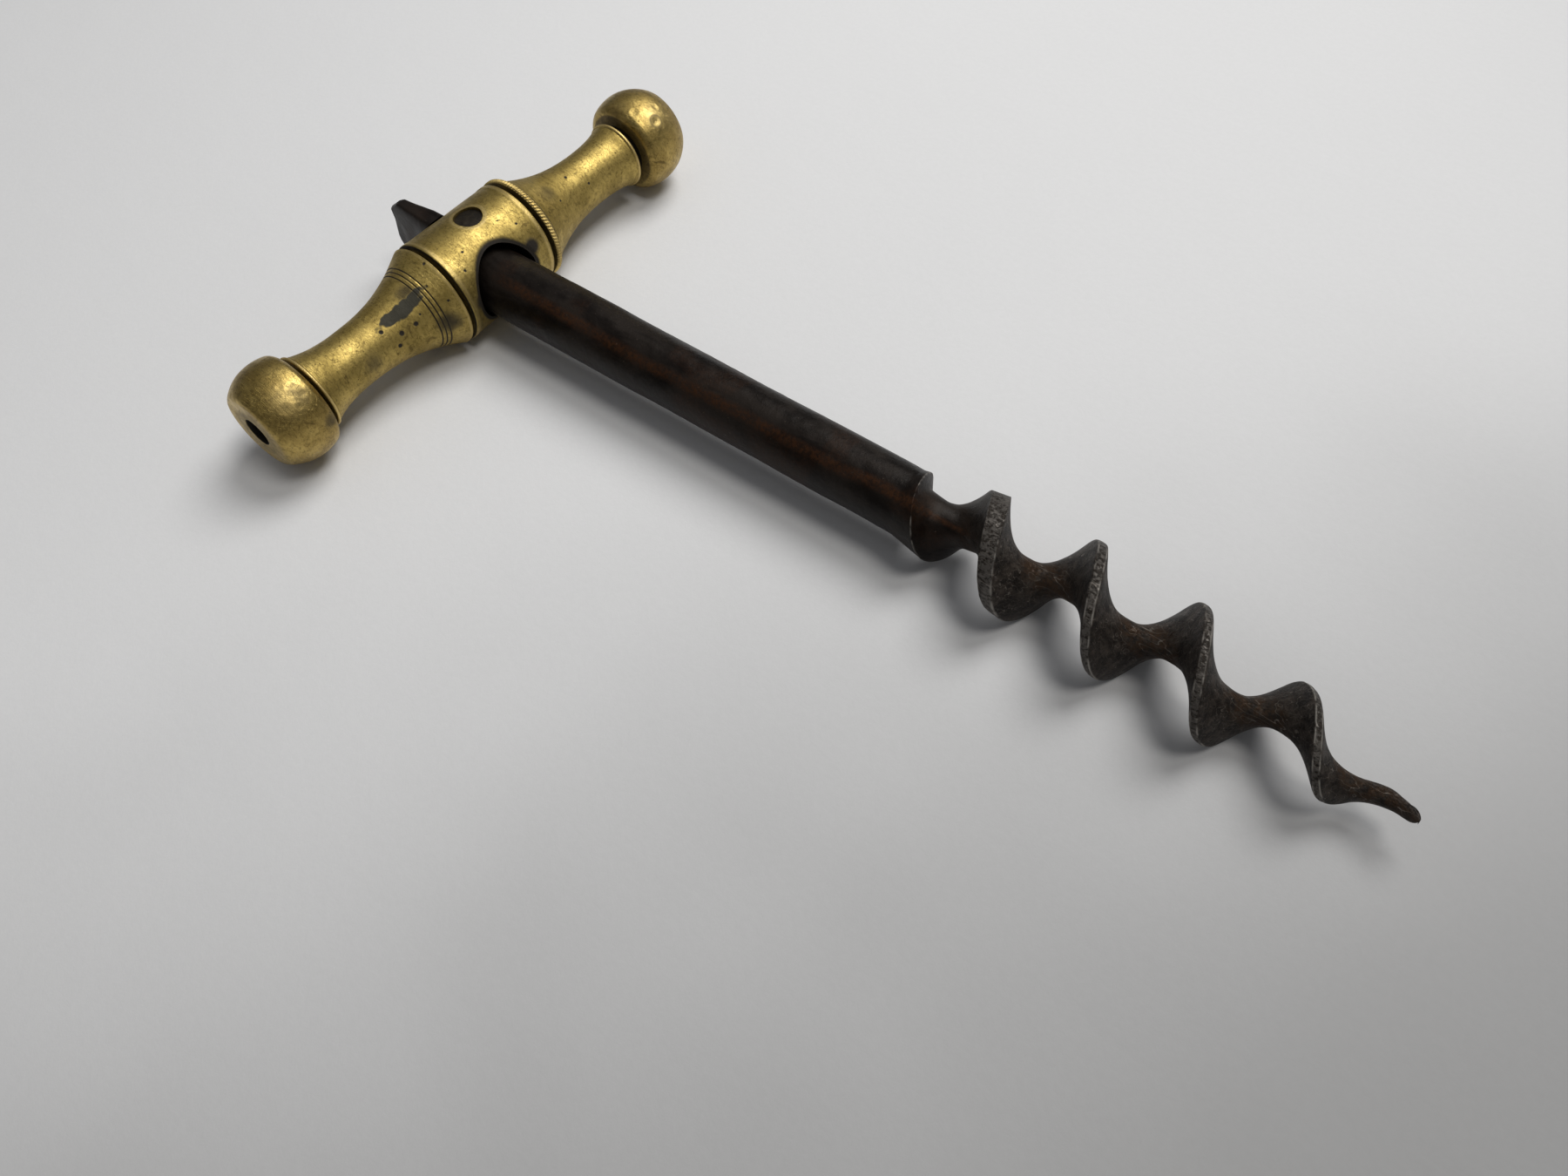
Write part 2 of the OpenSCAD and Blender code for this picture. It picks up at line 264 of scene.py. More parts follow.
class Look:
    """A material and short calls that add its nodes."""

    def __init__(self, name):
        self.material = bpy.data.materials.new(name)
        self.material.use_nodes = True
        self.tree = self.material.node_tree
        self.shader = self.tree.nodes["Principled BSDF"]
        coords = self.tree.nodes.new("ShaderNodeTexCoord")
        self.mm = self.vector("SCALE", coords.outputs["Object"], scale=1 / MM)

    def feed(self, socket, value):
        if isinstance(value, bpy.types.NodeSocket):
            self.tree.links.new(value, socket)
        else:
            socket.default_value = value

    def vector(self, operation, a, b=None, scale=None):
        n = self.tree.nodes.new("ShaderNodeVectorMath")
        n.operation = operation
        self.feed(n.inputs[0], a)
        if b is not None:
            self.feed(n.inputs[1], b)
        if scale is not None:
            n.inputs["Scale"].default_value = scale
        return n.outputs["Vector"]

    def math(self, operation, a, b=0.0):
        n = self.tree.nodes.new("ShaderNodeMath")
        n.operation = operation
        self.feed(n.inputs[0], a)
        self.feed(n.inputs[1], b)
        return n.outputs[0]

    def layer(self, name):
        n = self.tree.nodes.new("ShaderNodeAttribute")
        n.attribute_name = name
        return n.outputs["Fac"]

    def noise(self, size, detail=3.0, rough=0.55, stretch=(1, 1, 1), bend=0.0, shift=0.0):
        """Noise whose lumps are size mm across, stretched along an axis by its factor."""
        n = self.tree.nodes.new("ShaderNodeTexNoise")
        scaled = self.vector("MULTIPLY", self.mm, tuple(1 / (size * s) for s in stretch))
        if shift:
            scaled = self.vector("ADD", scaled, (shift, shift * 1.7, shift * 0.6))
        self.feed(n.inputs["Vector"], scaled)
        n.inputs["Scale"].default_value = 1.0
        n.inputs["Detail"].default_value = detail
        n.inputs["Roughness"].default_value = rough
        n.inputs["Distortion"].default_value = bend
        return n.outputs["Fac"]

    def span(self, value, low, high, to_low=0.0, to_high=1.0):
        n = self.tree.nodes.new("ShaderNodeMapRange")
        n.interpolation_type = "SMOOTHSTEP"
        self.feed(n.inputs["Value"], value)
        for socket, number in zip(("From Min", "From Max", "To Min", "To Max"), (low, high, to_low, to_high)):
            n.inputs[socket].default_value = number
        return n.outputs["Result"]

    def mix(self, share, a, b):
        n = self.tree.nodes.new("ShaderNodeMix")
        n.data_type = "RGBA"
        self.feed(n.inputs[0], share)
        for socket, value in ((n.inputs[6], a), (n.inputs[7], b)):
            self.feed(socket, value if isinstance(value, bpy.types.NodeSocket) else (*value, 1))
        return n.outputs[2]

    def blend(self, share, a, b):
        n = self.tree.nodes.new("ShaderNodeMix")
        self.feed(n.inputs[0], share)
        self.feed(n.inputs[2], a)
        self.feed(n.inputs[3], b)
        return n.outputs[0]

    def scratches(self, size, width, heading, shift):
        """Long thin lines that run roughly one way: the places where a stretched noise crosses its middle."""
        n = self.tree.nodes.new("ShaderNodeTexNoise")
        turn = self.tree.nodes.new("ShaderNodeMapping")
        self.feed(turn.inputs["Vector"], self.mm)
        turn.inputs["Location"].default_value = (shift, -shift, 0.3 * shift)
        turn.inputs["Rotation"].default_value = tuple(math.radians(v) for v in heading)
        turn.inputs["Scale"].default_value = (0.12 / size, 1 / size, 1 / size)
        self.feed(n.inputs["Vector"], turn.outputs[0])
        n.inputs["Scale"].default_value = 1.0
        n.inputs["Detail"].default_value = 1.0
        off = self.math("ABSOLUTE", self.math("SUBTRACT", n.outputs["Fac"], 0.5))
        return self.span(off, width, 0.0)

    def bumps(self, *layers):
        """Chains bumps; each layer is (height 0 to 1, depth in mm)."""
        normal = None
        for height, depth in layers:
            n = self.tree.nodes.new("ShaderNodeBump")
            n.inputs["Strength"].default_value = 1.0
            n.inputs["Distance"].default_value = depth * MM
            self.feed(n.inputs["Height"], height)
            if normal is not None:
                self.feed(n.inputs["Normal"], normal)
            normal = n.outputs["Normal"]
        self.feed(self.shader.inputs["Normal"], normal)

    def finish(self, colour, metallic, roughness):
        self.feed(self.shader.inputs["Base Color"], colour)
        self.feed(self.shader.inputs["Metallic"], metallic)
        self.feed(self.shader.inputs["Roughness"], roughness)
        return self.material


def old_brass(name, light, dark, shift, gloss=0.40):
    """Unpolished handled brass: gold where it is rubbed, olive brown between, specks and scratches; painted
    shade and dirt darken it, and on the knobs a painted highlight brightens it.
    """
    look = Look(name)
    clouds = look.noise(5.0, 4.0, 0.6, (1, 0.8, 1), 0.3, shift)
    streaks = look.noise(0.35, 3.0, 0.6, (14, 0.5, 14), 0.0, shift + 2)
    tarnish = look.math("ADD", look.span(clouds, 0.38, 0.66, 0, 0.75), look.span(streaks, 0.5, 0.75, 0, 0.3))
    colour = look.mix(tarnish, light, dark)
    mottle = look.span(look.noise(0.55, 6.0, 0.75, (1, 0.7, 1), 0.6, shift + 17), 0.46, 0.66)
    colour = look.mix(look.math("MULTIPLY", mottle, 0.62), colour, (0.12, 0.083, 0.024))
    stains = look.span(look.noise(1.6, 5.0, 0.7, (1, 1.3, 1), 1.2, shift + 5), 0.57, 0.7)
    colour = look.mix(look.math("MULTIPLY", stains, 0.65), colour, (0.105, 0.07, 0.025))
    specks = look.span(look.noise(0.32, 2.0, 0.5, (1, 1, 1), 0.2, shift + 9), 0.69, 0.76)
    # painted shade in bores, holes and the grooves between parts, together with real dirt and stains
    shade_and_dirt = look.layer("grime")
    shade_and_dirt_edge = look.math("ADD", shade_and_dirt, look.math("MULTIPLY", look.math("SUBTRACT", clouds, 0.5), 0.35))
    shade_and_dirt = look.math("MULTIPLY", look.span(shade_and_dirt_edge, 0.12, 0.75), look.span(shade_and_dirt, 0.0, 0.2))
    colour = look.mix(look.math("MULTIPLY", specks, 0.8), colour, (0.07, 0.045, 0.02))
    # brighter gold where the brass is rubbed, and on the knobs a painted highlight
    rubbed_and_highlight = look.math("MULTIPLY", look.layer("wear"), look.span(streaks, 0.3, 0.6, 0.6, 1.0))
    colour = look.mix(rubbed_and_highlight, colour, (0.74, 0.57, 0.24))
    fine = look.scratches(0.5, 0.012, (20, 35, 60), shift)
    cross = look.scratches(0.7, 0.010, (70, -20, 25), shift + 4)
    lines = look.math("MAXIMUM", fine, cross)
    colour = look.mix(look.math("MULTIPLY", lines, 0.25), colour, (0.16, 0.11, 0.045))
    lead = look.layer("patch")
    colour = look.mix(lead, colour, (0.062, 0.058, 0.042))
    # painted shade and dirt turn the brass almost black brown here
    colour = look.mix(shade_and_dirt, colour, (0.018, 0.013, 0.007))
    roughness = look.math("ADD", look.span(clouds, 0.3, 0.7, gloss - 0.03, gloss + 0.12),
                          look.math("MULTIPLY", stains, 0.12))
    roughness = look.math("ADD", roughness, look.math("MULTIPLY", look.math("MAXIMUM", shade_and_dirt, lead), 0.22))
    metallic = look.math("SUBTRACT", 1.0, look.math("MULTIPLY", shade_and_dirt, 0.75))
    metallic = look.math("SUBTRACT", metallic, look.math("MULTIPLY", lead, 0.35))
    look.bumps((look.noise(2.2, 3.0, 0.5, shift=shift), 0.045), (streaks, 0.022),
               (look.math("SUBTRACT", 1.0, lines), 0.010), (look.math("SUBTRACT", 1.0, specks), 0.02),
               (look.noise(0.45, 5.0, 0.7, shift=shift), 0.030), (look.noise(0.13, 2.0, 0.6), 0.008))
    return look.finish(colour, metallic, roughness)


def dark_steel(name):
    """Forged steel: dark brown oxide with rust and a painted reddish sheen on the shank, pitted grey on the
    worm's land.
    """
    look = Look(name)
    worm, land, root = look.layer("worm"), look.layer("land"), look.layer("root")
    clouds = look.noise(3.5, 5.0, 0.62, (2.2, 1, 1), 0.4)
    grain = look.noise(0.45, 4.0, 0.65)
    colour = look.mix(look.span(clouds, 0.36, 0.64), (0.006, 0.0042, 0.0032), (0.019, 0.0145, 0.0115))
    # rust and a painted reddish sheen along the shank
    rust_and_sheen = look.math("MULTIPLY", look.layer("rust_and_sheen"), look.span(grain, 0.36, 0.62, 0.3, 1.0))
    colour = look.mix(rust_and_sheen, colour, (0.050, 0.019, 0.0065))
    chips = look.span(look.noise(0.26, 2.0, 0.5, shift=3), 0.70, 0.78)
    colour = look.mix(look.math("MULTIPLY", chips, 0.4), colour, (0.13, 0.10, 0.075))
    flank = look.mix(look.span(look.noise(1.3, 5.0, 0.7, shift=6), 0.38, 0.66),
                     (0.014, 0.011, 0.009), (0.055, 0.044, 0.036))
    rooty = look.math("MULTIPLY", root, look.span(look.noise(1.0, 4.0, 0.7, shift=8), 0.38, 0.6))
    flank = look.mix(rooty, flank, (0.040, 0.023, 0.013))
    colour = look.mix(worm, colour, flank)
    pits = look.span(look.noise(0.36, 5.0, 0.72, (1.4, 1, 1), shift=11), 0.43, 0.60)
    grey = look.mix(pits, (0.115, 0.105, 0.095), (0.028, 0.023, 0.019))
    colour = look.mix(land, colour, grey)
    nicks = look.math("MULTIPLY", look.scratches(0.8, 0.012, (15, 50, 30), 5), look.span(worm, 0.2, 0.9))
    colour = look.mix(look.math("MULTIPLY", nicks, 0.5), colour, (0.27, 0.24, 0.21))
    colour = look.mix(look.layer("rub"), colour, (0.46, 0.43, 0.39))
    roughness = look.math("ADD", look.span(clouds, 0.35, 0.65, 0.36, 0.50), look.math("MULTIPLY", worm, 0.06))
    roughness = look.math("ADD", roughness, look.math("MULTIPLY", rust_and_sheen, 0.08))
    metallic = look.blend(look.math("MAXIMUM", land, look.layer("rub")), 0.3, 0.8)
    look.shader.inputs["Specular IOR Level"].default_value = 0.16
    look.bumps((look.noise(1.6, 4.0, 0.6), 0.06), (grain, 0.035),
               (look.math("MULTIPLY", look.math("SUBTRACT", 1.0, pits), worm), 0.05),
               (look.noise(0.16, 3.0, 0.6), 0.014))
    return look.finish(colour, metallic, roughness)


def plain_steel(name, base, tint, gloss):
    """Steel of the studs and the pin's end: filed or cut, slightly stained."""
    look = Look(name)
    grain = look.noise(0.5, 4.0, 0.65)
    stains = look.span(look.noise(1.4, 4.0, 0.6, shift=4), 0.42, 0.62)
    colour = look.mix(stains, base, tint)
    lines = look.scratches(0.3, 0.02, (0, 20, 40), 2)
    colour = look.mix(look.math("MULTIPLY", lines, 0.3), colour, tuple(2 * c for c in base))
    look.bumps((grain, 0.02), (look.math("SUBTRACT", 1.0, lines), 0.01))
    return look.finish(colour, 0.8, look.span(grain, 0.3, 0.7, gloss, gloss + 0.15))


def paper(name):
    """Pale matt paper with a very fine grain; a painted shade darkens it towards its near right side, where
    the room's light falls off.
    """
    look = Look(name)
    tone = look.mix(look.noise(90.0, 3.0, 0.5), (0.74, 0.745, 0.755), (0.765, 0.77, 0.78))
    fibre = look.noise(0.9, 4.0, 0.7)
    tone = look.mix(look.span(fibre, 0.35, 0.65, 0.0, 0.035), tone, (0.45, 0.45, 0.45))
    parts = look.tree.nodes.new("ShaderNodeSeparateXYZ")
    look.feed(parts.inputs[0], look.mm)
    # painted shade: the paper's colour grows darker along this direction, standing in for light falling off
    across = look.math("SUBTRACT", look.math("MULTIPLY", parts.outputs["X"], 0.8),
                       look.math("MULTIPLY", parts.outputs["Y"], 0.6))
    uneven = look.span(look.noise(60.0, 2.0, 0.5), 0.3, 0.7, -7, 7)
    shade = look.span(look.math("ADD", across, uneven), -15.0, 105.0, 0.0, 0.56)
    tone = look.mix(shade, tone, (0.06, 0.058, 0.055))
    look.bumps((fibre, 0.03), (look.noise(9.0, 2.0, 0.5), 0.12))
    look.shader.inputs["Specular IOR Level"].default_value = 0.25
    return look.finish(tone, 0.0, look.span(fibre, 0.3, 0.7, 0.8, 0.9))


# ---------------------------------------------------------------- brass pieces

def dents(y, angle, radius, spots):
    """Shallow round dents: each spot is (y, angle, size, depth) with a slightly raised rim."""
    total = 0
    for spot_y, spot_angle, size, depth in spots:
        d = near(y, angle, radius, spot_y, spot_angle) / size
        total = total - depth * np.exp(-d * d * 2.2) + 0.35 * depth * np.exp(-((d - 1.25) / 0.3) ** 2)
    return total


def scatter(count, y_low, y_high, size_low, size_high, depth, seed):
    """A fixed random set of dents or pits."""
    draw = np.random.default_rng(seed)
    sizes = draw.uniform(size_low, size_high, count)
    return [(y_low + (y_high - y_low) * draw.uniform(), draw.uniform(-180, 180), s,
             depth * draw.uniform(0.5, 1.0)) for s in sizes]


def stains(y, angle, radius, spots):
    """Soft stains: each is (y, angle, darkness, outer, inner), and darkens from outer to inner mm away."""
    return most(*(dark * step(near(y, angle, radius, spot_y, spot_angle), outer, inner)
                  for spot_y, spot_angle, dark, outer, inner in spots))


def pit_stains(pits, dark, outer, inner):
    """A stain for each pit, outer and inner being shares of its size."""
    return [(y, angle, dark, size * outer, size * inner) for y, angle, size, _ in pits]


# Marks on the brass: pits and dents are (y, angle, size, depth), stains as above, and lines (y, depth).
BARREL_PITS = [(-5.28, 44, 0.22, 0.10), (-3.82, 60, 0.20, 0.07), (2.9, 64, 0.16, 0.05), (4.6, 50, 0.2, 0.05)]
LEFT_PITS = [(-8.51, 76, 0.22, 0.10), (-10.23, 57, 0.2, 0.09), (-13.95, 27, 0.33, 0.07),
             (-18.0, 49, 0.30, 0.06), (-16.04, 27, 0.36, 0.07), (-17.02, 10, 0.30, 0.06),
             (-12.9, 35, 0.16, 0.06), (-9.3, 30, 0.18, 0.06)]
RIGHT_PITS = [(16.65, 68, 0.22, 0.06), (19.07, 32, 0.20, 0.06), (13.2, 40, 0.16, 0.05)]
BARREL_STAINS = [(4.6, 22, 0.9, 1.9, 0.3), (-5.2, 8, 0.75, 2.4, 0.4)]
LEFT_STAINS = [(-10.3, 5, 0.62, 3.0, 0.3), (-21.0, 12, 0.5, 3.2, 0.2), (-12.6, 72, 0.55, 2.6, 0.3)]
RIGHT_STAINS = [(12.0, 60, 0.4, 3.0, 0.3)]
LEFT_LINES = [(10.55, 0.07), (11.1, 0.06), (11.65, 0.07)]
LEFT_KNOB_MARKS = [(-31.3, 46, 0.5, 0.05), (-34.0, 44, 0.7, 0.05), (-35.5, 76, 0.6, 0.05),
                   (-32.6, 20, 0.5, 0.04)]
RIGHT_KNOB_MARKS = [(32.09, 46, 0.75, 0.13), (33.6, 60, 0.5, 0.05), (30.6, 70, 0.6, 0.04)]


def hole_edge(points):
    """Distance in mm from the barrel's shank hole, outside it."""
    return np.hypot(points[..., 1] + HOLE_SIDE, points[..., 2] - HOLE_UP) - HOLE_R


def pin_edge(points):
    """Distance in mm from the cross pin's hole, outside it."""
    return np.hypot(points[..., 0], points[..., 1] - PIN_Y) - PIN_R


def mark_barrel(barrel):
    """Painted shade inside and round the shank hole, in the bores and on the end faces in the grooves by the
    arms; dirt in the pits and stains; rims rubbed bright.
    """
    y, angle, radius, points = surface(barrel)
    edge = hole_edge(points)
    from_end = BARREL_HALF - np.abs(y)
    # painted shade: how dark the end faces are in the grooves, most near the bore and near the outer rim
    faces = 0.38 + 0.4 * step(radius, 2.6, 1.9) + 0.3 * step(radius, 6.2, 7.0)
    # painted shade in and round the shank hole, dirt round stains and pits, painted shade on the end faces
    # and on the walls of the bores and holes
    grime = most(0.95 * step(edge, 0.9, 0.05) * step(points[:, 0], 2.0, 5.0),
                 0.8 * step(edge, 1.2, 0.0) * step(points[:, 0], -2, -5),
                 stains(y, angle, radius, BARREL_STAINS + pit_stains(BARREL_PITS, 0.9, 1.2, 0.5)),
                 faces * step(from_end, 0.1, 0.01),
                 step(radius, BARREL_R - 0.25, BARREL_R - 0.8) * (from_end > 0.3))
    pin_rim = step(np.abs(pin_edge(points) - 0.3), 0.35, 0.05) * (np.abs(points[:, 2]) > 5)
    beads = step(np.abs(from_end - 0.45), 0.4, 0.05) * step(radius, BARREL_R - 0.1, BARREL_R)
    mark(barrel, grime=grime, wear=most(0.55 * beads, 0.8 * pin_rim), patch=0 * y)


def make_barrel():
    inner = BARREL_HALF - 1.0
    bead = BARREL_R + 0.06
    half = [(0, 0), (BARREL_R, 0), (BARREL_R, inner), (bead, inner + 0.25),
            (bead, BARREL_HALF - 0.12), (bead - 0.12, BARREL_HALF), (0, BARREL_HALF)]
    outline = [(r, -y) for r, y in half[:1:-1]] + half[2:]
    outline = spaced(rounded(outline, 0.14), 0.16)
    spots = BARREL_PITS + scatter(14, -7, 7, 0.1, 0.5, 0.035, 3)

    def shape(y, angle, radius, points):
        gain = 0.02 * lumps(points, 3.0, 1, 2) + dents(y, angle, radius, spots)
        gain = gain - 0.17 * step(np.abs(hole_edge(points)), 0.75, 0.0)
        gain = gain - 0.05 * step(pin_edge(points), 0.5, 0.0) * (np.abs(points[..., 2]) > 5)
        return np.minimum(step(radius, 5.8, 6.6) * gain, 0.01)

    barrel = turned("barrel_turned", outline, 320, shape=shape)
    reach, tap_r, tap_from = 9.0, STUD_R + SEAT_GAP, STUD_IN - 1
    cut(barrel, rod("tool_shank", (-reach, -HOLE_SIDE, HOLE_UP), (reach, -HOLE_SIDE, HOLE_UP), HOLE_R, 160),
        rod("tool_pin", (0, PIN_Y, -reach), (0, PIN_Y, reach), PIN_R + SEAT_GAP),
        rod("tool_left", (0, -tap_from, 0), (0, -reach, 0), tap_r, 64),
        rod("tool_right", (0, tap_from, 0), (0, reach, 0), tap_r, 64))
    mark_barrel(barrel)
    return barrel


def arm_outline(collar, lines, end):
    """The skin of an arm from its bore round its outside, for the right hand side, cut off at y = end."""
    arm_in = BARREL_HALF + GROOVE_W
    body = []
    for y in np.linspace(arm_in, end, 200):
        if y < WAIST_Y:
            fall = ((y - arm_in) / (WAIST_Y - arm_in)) ** SHOULDER_FALL
            body.append((WAIST_R + (SHOULDER_R - WAIST_R) * (1 + math.cos(math.pi * fall)) / 2, y))
        else:
            flare = ((y - WAIST_Y) / (ARM_END - WAIST_Y)) ** FLARE_LATE
            body.append((WAIST_R + (FLARE_R - WAIST_R) * flare, y))
    if collar:
        collar_end = arm_in + COLLAR_W
        body = [p for p in body if p[1] > collar_end + 0.1]
        body = [(COLLAR_R - 0.16, arm_in), (COLLAR_R, arm_in + 0.16), (COLLAR_R, collar_end - 0.2),
                (COLLAR_R - 0.42, collar_end + 0.05)] + body
    for line_y, depth in lines:
        for offset, down in ((-0.09, 0), (-0.03, depth), (0.03, depth), (0.09, 0)):
            y = line_y + offset
            body.append((float(np.interp(y, [p[1] for p in body], [p[0] for p in body])) - down, y))
        body = sorted((p for p in body if abs(p[1] - line_y) > 0.1 or p in body[-4:]), key=lambda p: p[1])
    lip_y, lip_r = end - 0.5, body[-1][0] + 0.07
    body = [p for p in body if p[1] < lip_y - 0.08]
    body += [(body[-1][0] - 0.02, lip_y), (lip_r - 0.02, lip_y + 0.12),
             (lip_r, end - 0.15), (lip_r - 0.14, end)]
    inner = [(SLIDE_R, BARREL_HALF + SEAT_GAP), (NECK_R, BARREL_HALF + SEAT_GAP), (NECK_R, arm_in)]
    return inner + body + [(SLIDE_R, end), inner[0]]


def mark_arm(arm, left, end, pits):
    """Painted shade in the bore and in the groove by the barrel; dirt in the lines, pits and stains; darker
    behind the right arm's collar; rims rubbed bright; on the left arm a lead grey patch.
    """
    y, angle, radius, points = surface(arm)
    reach = np.abs(y)
    from_face = reach - BARREL_HALF - GROOVE_W
    # painted shade on the inner face and neck in the groove by the barrel and in the bore, then dirt round
    # pits and stains
    grime = most((0.45 + 0.45 * step(radius, 5.2, 5.9)) * step(from_face, 0.1, -0.1),
                 step(radius, 3.4, 2.6),
                 stains(y, angle, radius, pit_stains(pits, 0.8, 1.35, 0.6)),
                 stains(y, angle, radius, LEFT_STAINS if left else RIGHT_STAINS))
    shoulder = step(np.abs(from_face - 0.22), 0.25, 0.03) * step(radius, SHOULDER_R - 0.5, SHOULDER_R)
    lip = step(np.abs(reach - end + 0.24), 0.3, 0.1) * step(radius, 4.1, 4.4)
    wear = most(0.55 * shoulder, 0.8 * lip)
    patch = 0 * y
    if left:
        for line_y, _ in LEFT_LINES:
            grime = np.maximum(grime, 0.75 * step(np.abs(reach - line_y), 0.12, 0.03))
        patch_y, patch_angle, half_long, half_wide = -14.2, 57, 3.1, 0.95
        along = (y - patch_y) / half_long
        across = np.radians((angle - patch_angle + 180) % 360 - 180) * radius / half_wide
        ragged = 0.35 * lumps(points, 0.8, 31, 2)
        patch = step(np.hypot(along, across) + ragged, 1.12, 0.9)
    else:
        # darker in the crease just behind the collar
        grime = np.maximum(grime, 0.8 * step(np.abs(from_face - COLLAR_W - 0.15), 0.22, 0.08))
        on_collar = step(radius, COLLAR_R - 0.3, COLLAR_R - 0.05) * (from_face < COLLAR_W + 0.05)
        wear = np.maximum(wear, 0.7 * on_collar)
    mark(arm, grime=grime * (1 - patch), wear=wear, patch=patch)


def make_arm(hand):
    left = hand < 0
    end = ARM_END if left else RIGHT_END
    outline = spaced(rounded(arm_outline(not left, LEFT_LINES if left else [], end), 0.10), 0.15)
    pits = LEFT_PITS if left else RIGHT_PITS
    small = scatter(26 if left else 16, hand * 9, hand * 28, 0.1, 0.45, 0.03, 11 + hand)
    face_y = BARREL_HALF + GROOVE_W
    collar_end, teeth, slant = face_y + COLLAR_W + 0.05, 96, 5.0

    def shape(y, angle, radius, points):
        skin = step(radius, 2.4, 3.2) * step(np.abs(y), BARREL_HALF + 0.4, face_y + 0.05)
        gain = 0.025 * lumps(points, 4.0, 20 + hand, 2) + dents(y, angle, radius, pits + small)
        if not left:
            ticks = np.sin(np.radians(angle) * teeth + np.abs(y) * slant)
            on_collar = step(radius, COLLAR_R - 0.3, COLLAR_R - 0.1) * (np.abs(y) < collar_end)
            gain = gain * (1 - on_collar) + on_collar * (-0.09 + 0.075 * ticks)
        return np.minimum(skin * gain, 0.02)

    name, sides = ("arm_left_turned", 384) if left else ("arm_right_turned", 768)
    arm = turned(name, outline, sides, hand, shape, closed=True)
    mark_arm(arm, left, end, pits)
    return arm


def knob_outline(left, arm_end):
    """The skin of a knob from its bore round the ball to its end face, for the right hand side."""
    in_y = arm_end + (GAP_LEFT if left else GAP_RIGHT)
    round_y = HALF - KNOB_Y - KNOB_ROUND
    round_r = math.sqrt((KNOB_R - KNOB_ROUND) ** 2 - round_y ** 2)
    start, end = math.acos((in_y + 0.8 - KNOB_Y) / KNOB_R), math.atan2(round_r, round_y)
    ball = [(KNOB_R * math.sin(a), KNOB_Y + KNOB_R * math.cos(a)) for a in np.linspace(start, end, 120)]
    edge = [(round_r + KNOB_ROUND * math.sin(a), KNOB_Y + round_y + KNOB_ROUND * math.cos(a))
            for a in np.linspace(end, 0, 14)[1:]]
    corner_r = math.sqrt(KNOB_R ** 2 - (in_y - KNOB_Y) ** 2)
    corner = [((1 - t) ** 2 * (corner_r - 1.1) + 2 * t * (1 - t) * (corner_r - 0.1) + t * t * ball[0][0],
               (1 - t * t) * in_y + t * t * ball[0][1]) for t in np.linspace(0, 1, 10)[:-1]]
    bore, seat = STUD_OUT + 0.2, arm_end + SEAT_GAP
    outline = [(0, bore), (SLIDE_R, bore), (SLIDE_R, seat), (KNOB_NECK_R, seat), (KNOB_NECK_R, in_y)]
    outline += corner + ball + edge
    if left:
        outline += [(END_HOLE_R, HALF), (END_HOLE_R, HALF - END_HOLE_DEEP), (0, HALF - END_HOLE_DEEP)]
    else:
        outline += [(0, HALF)]
    return outline, in_y


def mark_knob(knob, hand, in_y):
    """Painted shade in the bore, in the gap by the arm and in the end hole, and dirt round the dents; a patch
    on the upper front of the ball rubbed bright, with a painted highlight.
    """
    y, angle, radius, points = surface(knob)
    reach = np.abs(y)
    # painted shade in the bore, on the neck and on the ball's face towards the arm
    grime = most(step(radius, 4.3, 3.4) * (reach < KNOB_Y), 0.45 * step(reach, in_y + 0.12, in_y + 0.02))
    if hand < 0:
        blotch = near(y, angle, radius, -31.2, 48) + 0.9 * lumps(points, 0.7, 81, 2)
        # painted shade in the end hole, darker over the end face's middle, dirt blotches and a stain
        grime = most(grime, step(radius, END_HOLE_R + 0.12, END_HOLE_R - 0.02) * (reach > KNOB_Y),
                     0.35 * step(radius, 4.4, 3.0) * (reach > HALF - 0.3), 0.42 * step(blotch, 2.2, 0.6),
                     stains(y, angle, radius, [(-30.5, 5, 0.5, 2.0, 0.2)]))
    else:
        big_y, big_angle = RIGHT_KNOB_MARKS[0][:2]
        ring = np.abs(near(y, angle, radius, big_y, big_angle) - 0.85)
        grime = most(grime, 0.45 * step(ring, 0.35, 0.05),
                     stains(y, angle, radius, [(30.0, 92, 0.3, 2.5, 0.3)]))
    # painted highlight with rubbing: brighter on the upper front of the ball, where its highlight falls
    wear = 0.45 * step(near(y, angle, radius, hand * 33.0, 50), 3.2, 0.5)
    mark(knob, grime=grime, wear=wear, patch=0 * y)


def make_knob(hand):
    left = hand < 0
    outline, in_y = knob_outline(left, ARM_END if left else RIGHT_END)
    spots = LEFT_KNOB_MARKS if left else RIGHT_KNOB_MARKS
    spots = spots + scatter(30, hand * 29.5, hand * 36.5, 0.12, 0.7, 0.04, 41 + hand)

    def shape(y, angle, radius, points):
        skin = step(radius, 2.4, 3.4) * step(np.abs(y), in_y - 0.05, in_y + 0.3)
        gain = 0.04 * lumps(points, 4.5, 50 + hand, 2) + dents(y, angle, radius, spots)
        return np.minimum(skin * gain, 0.03)

    name = "knob_left_turned" if left else "knob_right_turned"
    knob = turned(name, spaced(rounded(outline, 0.16), 0.16), 320, hand, shape)
    mark_knob(knob, hand, in_y)
    return knob


# ---------------------------------------------------------------- steel pieces

